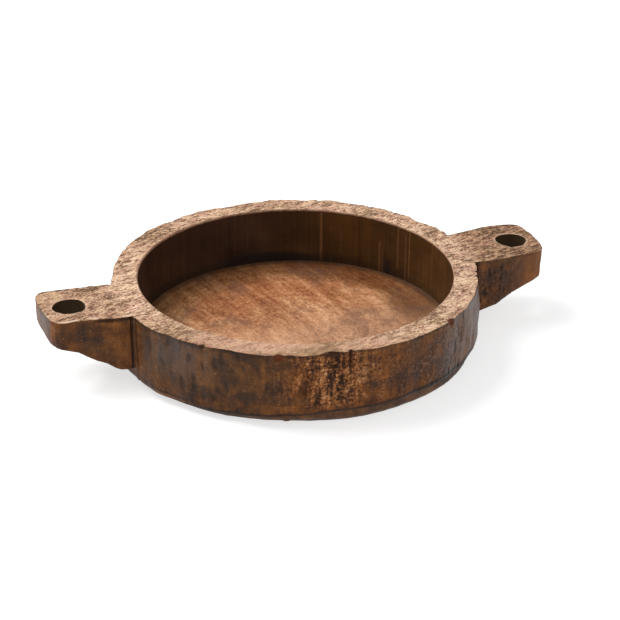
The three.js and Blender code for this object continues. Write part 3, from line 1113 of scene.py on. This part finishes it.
def makeWallFinish():
    mat, shader = newMaterial("wallWood", 0.14)
    place = placeInMm()
    torn = mark("torn")
    warmth = total((torn, 1.0), start=mark("warm"))
    pale, scrubbed, stained, gloss, height = adzedSurface(place, warmth)
    fibres = grainNoise(place, (0.2, 0.2, 0.7), 3.0, 0.7)
    crumbs = grainNoise(place, (0.6, 0.6, 0.6), 2.0, 0.75)
    cracks = grainNoise(place, (0.35, 0.35, 0.045), 4.0, 0.7, 0.4)
    clods = grainNoise(place, (0.16, 0.16, 0.12), 3.0, 0.6, 0.6)
    rough = total((fibres, 0.6), (crumbs, 0.75), (cracks, 0.85), (clods, 0.6),
                  (mark("tear"), -0.05), (mark("burn"), -0.11), start=-0.9)
    outside = blend(times(torn, 0.9), stained, ramp(rough, wallTones["torn"]))
    outside = blend(mark("sheen"), outside, wallTones["sheen"])
    grit = times(mark("grit"), spread(clods, 0.4, 0.55, 0.2, 1.0))
    outside = flecks(outside, (crumbs, 0.48, 0.39, grit, wallTones["gritDark"]),
                     (crumbs, 0.57, 0.68, grit, wallTones["gritLight"]))
    outside = tint(outside, wallTones["overOutside"])

    # the hollow's side: a dark brown stain with faint upright streaks; the right side gets a lighter, warmer
    # ramp as painted light from the left, and the low dark band is painted shade and grime
    streaks = grainNoise(place, (0.4, 0.4, 0.012), 4.0, 0.6)
    patches = grainNoise(place, (0.03, 0.03, 0.04), 3.0, 0.55)
    mix = total((streaks, 0.4), (patches, 0.6))
    inner = blend(mark("warm"), ramp(mix, wallTones["inner"]),
                  ramp(mix, wallTones["innerWarm"]))
    inner = tint(inner, wallTones["overInner"])
    color = blend(mark("inside"), outside, inner)
    color = tint(blend(pale, color, scrubbed), wallTones["overAll"])
    gloss = total((torn, 0.12), start=gloss)
    height = total((times(rough, torn), 3.0), start=height)
    finishSurface(shader, color, gloss, height, 0.5, 0.9)
    return mat


handleTones = {
    "gritDark": (34, 25, 20),
    "gritLight": (112, 84, 66),
    # dimple: painted shade in the pits and tool marks
    "overSide": [("glow", 0.3, (140, 94, 60)), ("dimple", 0.55, (32, 23, 17))],
    # line: a pale line round the grip hole and a painted highlight along the splinter; dark: painted shade
    # in the joint, under the splinter and on the underside
    "overAll": [("cream", 0.5, (230, 200, 150)), ("bore", 1.0, (68, 52, 33)),
                ("line", 0.45, (232, 200, 170)), ("chip", 0.5, (70, 44, 30)), ("dark", 0.82, (26, 19, 14))],
}


def makeHandleFinish():
    mat, shader = newMaterial("handleWood", 0.16)
    place = placeInMm()
    blush = spread(grainNoise(place, (0.035, 0.035, 0.05), 2.0), 0.35, 0.6, 0.2, 0.9)
    warmth = math2("MAXIMUM", blush, mark("glow"))
    pale, scrubbed, color, gloss, height = adzedSurface(place, warmth)
    crumbs = grainNoise(place, (0.8, 0.8, 0.8), 3.0, 0.8)
    grit = mark("grit")
    color = flecks(color, (crumbs, 0.46, 0.38, grit, handleTones["gritDark"]),
                   (crumbs, 0.58, 0.68, grit, handleTones["gritLight"]))
    color = tint(color, handleTones["overSide"])
    color = tint(blend(pale, color, scrubbed), handleTones["overAll"])
    finishSurface(shader, color, gloss, height, 0.5, 0.9)
    return mat


baseTones = {
    "wood": [(0.40, (122, 70, 36)), (0.46, (160, 102, 62)), (0.53, (188, 130, 88)), (0.60, (220, 168, 124))],
    "back": (224, 206, 190),
    "worn": (204, 160, 128),
    "ringLeft": (236, 240, 232),
    "ringRight": (168, 154, 128),
    "grime": (104, 74, 58),
    "pores": (84, 50, 30),
    "corner": (70, 50, 36),
    "foot": (30, 21, 14),
    "footRight": (40, 28, 20),
    "under": (110, 74, 50),
}


def makeBaseFinish():
    mat, shader = newMaterial("baseWood", 0.3)
    raw = placeInMm()
    place = placeInMm(78)
    bands = grainNoise(place, (0.012, 0.07, 0.07), 4.0, 0.6, 0.8)
    lines = grainNoise(place, (0.05, 0.5, 0.5), 3.0, 0.6)
    mottle = grainNoise(raw, (0.16, 0.16, 0.16), 5.0, 0.7)
    grains = grainNoise(raw, (0.6, 0.4, 0.6), 3.0, 0.75)
    wobble = grainNoise(raw, (0.025, 0.025, 0.03), 4.0, 0.6)
    grime = grainNoise(raw, (0.04, 0.04, 0.03), 4.0, 0.6, 0.6)
    clusters = grainNoise(raw, (0.035, 0.035, 0.03), 3.0, 0.6)

    # turning, wear and painted shade, measured out from the middle of the hollow
    flat = vectorMath("MULTIPLY", vectorMath("ADD", raw, (-bowlX, -hollowY, 0)), (1, 1, 0))
    out = vectorMath("LENGTH", flat, (0, 0, 0), "Value")
    sideways = vectorMath("DOT_PRODUCT", flat, (1.0, 0.0, 0.0), "Value")
    front = vectorMath("DOT_PRODUCT", flat, (0.1, -1.0, 0.0), "Value")
    rings = put("TexNoise", {"W": out, "Scale": 0.3, "Detail": 3.0, "Roughness": 0.55},
                noise_dimensions="1D").outputs[0]
    mix = total((bands, 0.35), (lines, 0.15), (rings, 0.08), (mottle, 0.27), (grains, 0.3),
                start=-0.075)
    color = ramp(mix, baseTones["wood"])

    # the outer ring is duller, as dirt and painted shade near the wall, most of all at the right, and isn't
    # there at the front
    waver = total((wobble, 26.0), (out, 1.0), start=-13.0)
    ring = spread(waver, 70.0, 82.0, 0.0, spread(front, 70.0, 0.0))
    dulled = blend(spread(sideways, -85.0, 70.0), baseTones["ringLeft"], baseTones["ringRight"])
    # darker towards the back: painted shade cast by the back of the wall
    back = times(spread(front, -25.0, -48.0, 0.0, 0.6), total((ring, -1.0), start=1.0))
    color = blend(back, color, baseTones["back"], "MULTIPLY")
    # scrubbed paler towards the front, where the worn middle runs out to the wall
    worn = total((mottle, 50.0), start=front)
    color = flecks(color, (worn, -8.0, 46.0, 0.4, baseTones["worn"]))
    color = blend(ring, color, dulled, "MULTIPLY")
    color = flecks(color, (grime, 0.52, 0.66, 0.4, baseTones["grime"]))
    amount = spread(clusters, 0.45, 0.62, 0.1, 0.7)
    pores = useGroup(openPores, {"Place": place, "Amount": amount})["Pores"]
    color = blend(pores, color, baseTones["pores"])
    color = tint(color, [("scar", 0.35, (104, 64, 40))])
    # a dark band where the floor meets the wall: painted shade and grime
    corner = total((wobble, 8.0), (out, 1.0), start=-4.0)
    color = flecks(color, (corner, 97.0, 105.0, 0.7, baseTones["corner"]))
    color = tint(color, [("slot", 1.0, (40, 28, 22))])

    # the foot, with painted shade darkest low down, where it meets the floor, and at the right, under the
    # wall's lip; and the plain underside
    height = put("SeparateXYZ", {0: raw}).outputs[2]
    foot = useGroup(stainedSide, {"Place": raw, "Warmth": 0.35})["Color"]
    foot = flecks(foot, (height, 3.0, 0.5, 0.7, baseTones["foot"]),
                  (sideways, 20.0, 100.0, 0.45, baseTones["footRight"]))
    color = blend(mark("edge"), color, foot)
    color = flecks(color, (height, 0.3, 0.1, 0.55, baseTones["under"]))
    gloss = spread(grime, 0.35, 0.65, 0.45, 0.6)
    finishSurface(shader, color, gloss, total((mottle, 0.6), (pores, -1.0)), 0.3)
    return mat


def makeRodFinish(name, pale, deep, across):
    # plain round stock with grain lines
    mat, shader = newMaterial(name)
    place = placeInMm()
    lines = grainNoise(place, across, 3.0, 0.6)
    tone = grainNoise(place, (0.4, 0.4, 0.4), 2.0)
    color = ramp(total((lines, 0.65), (tone, 0.35)), [(0.35, deep), (0.65, pale)])
    pores = useGroup(openPores, {"Place": place, "Amount": 0.5})["Pores"]
    color = blend(pores, color, (70, 44, 28))
    finishSurface(shader, color, spread(tone, 0.35, 0.65, 0.5, 0.7), lines, 0.2)
    return mat


print("mixing the finishes")
wallFinish = makeWallFinish()
handleFinish = makeHandleFinish()
baseFinish = makeBaseFinish()
pegFinish = makeRodFinish("pegWood", (196, 150, 104), (128, 86, 54), (1.1, 1.1, 0.05))
dowelFinish = makeRodFinish("dowelWood", (214, 178, 132), (160, 118, 78), (0.05, 1.1, 1.1))


# every piece rides on the one body and stands for its own node

def seat(piece, node, mat):
    piece.data.materials.clear()
    piece.data.materials.append(mat)
    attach(piece, "root")
    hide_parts(node)


seat(wallRing, "wall_ring", wallFinish)
seat(baseBoard, "base_board", baseFinish)
for label, piece in handlePieces.items():
    seat(piece, f"handle_{label}", handleFinish)
for k, piece in enumerate(pegPieces):
    seat(piece, f"base_peg_{k + 1}", pegFinish)
for (label, k), piece in dowelPieces.items():
    seat(piece, f"handle_dowel_{label}_{k + 1}", dowelFinish)


# floor, lights and camera

studio = {
    "floorHalf": 3000,
    "floorDrop": 0.1,
    "paperTone": 0.55,
    "paperGlow": 0.65,
    "worldLight": 0.4,
    "lights": {  # place, size and power
        "keyLight": ((-0.75, 0.65, 1.3), 1.1, 28),
        "fillLight": ((0.3, -1.6, 1.2), 1.2, 6),
    },
    "azimuth": -20.21,
    "elevation": 26.32,
    "roll": 0.28,
    "aim": (0.0079, -0.0022, 0.0206),
    "distance": 1.1586,
    "lens": 99.4,
}


def makeStage():
    half, drop = studio["floorHalf"], -studio["floorDrop"]
    points = [(-half, -half, drop), (half, -half, drop), (half, half, drop), (-half, half, drop)]
    floor = meshObject("studioFloor", points, [(0, 1, 2, 3)], smooth=False)
    mat, shader = newMaterial("studioPaper", 0.2, 0.9)
    feed(shader, {"Base Color": (*[studio["paperTone"]] * 3, 1), "Emission Color": (1, 1, 1, 1),
                        "Emission Strength": studio["paperGlow"]})
    floor.data.materials.append(mat)


def turnTo(obj, direction, roll=0.0):
    # turned to look along a direction, with its top up
    obj.rotation_mode = "QUATERNION"
    obj.rotation_quaternion = direction.to_track_quat("-Z", "Y") @ Quaternion((0, 0, 1), roll)


def addSoftLight(name, place, size, power):
    data = bpy.data.lights.new(name, "AREA")
    data.shape, data.size, data.energy = "SQUARE", size, power
    light = newObject(name, data)
    light.location = place
    turnTo(light, -Vector(place))


def makeCamera():
    azimuth, elevation = math.radians(studio["azimuth"]), math.radians(studio["elevation"])
    level = math.cos(elevation)
    back = Vector((math.sin(azimuth) * level, -math.cos(azimuth) * level, math.sin(elevation)))
    data = bpy.data.cameras.new("camera")
    data.sensor_width, data.lens = 36, studio["lens"]
    camera = newObject("camera", data)
    camera.location = Vector(studio["aim"]) + back * studio["distance"]
    turnTo(camera, -back, math.radians(studio["roll"]))
    scene.camera = camera


print("lighting the scene")
makeStage()
for name, (place, size, power) in studio["lights"].items():
    addSoftLight(name, place, size, power)
world = bpy.data.worlds.new("studio")
world.use_nodes = True
sky = world.node_tree.nodes["Background"].inputs
sky[0].default_value, sky[1].default_value = (1, 1, 1, 1), studio["worldLight"]
scene.world = world
scene.view_settings.view_transform = "Standard"
makeCamera()
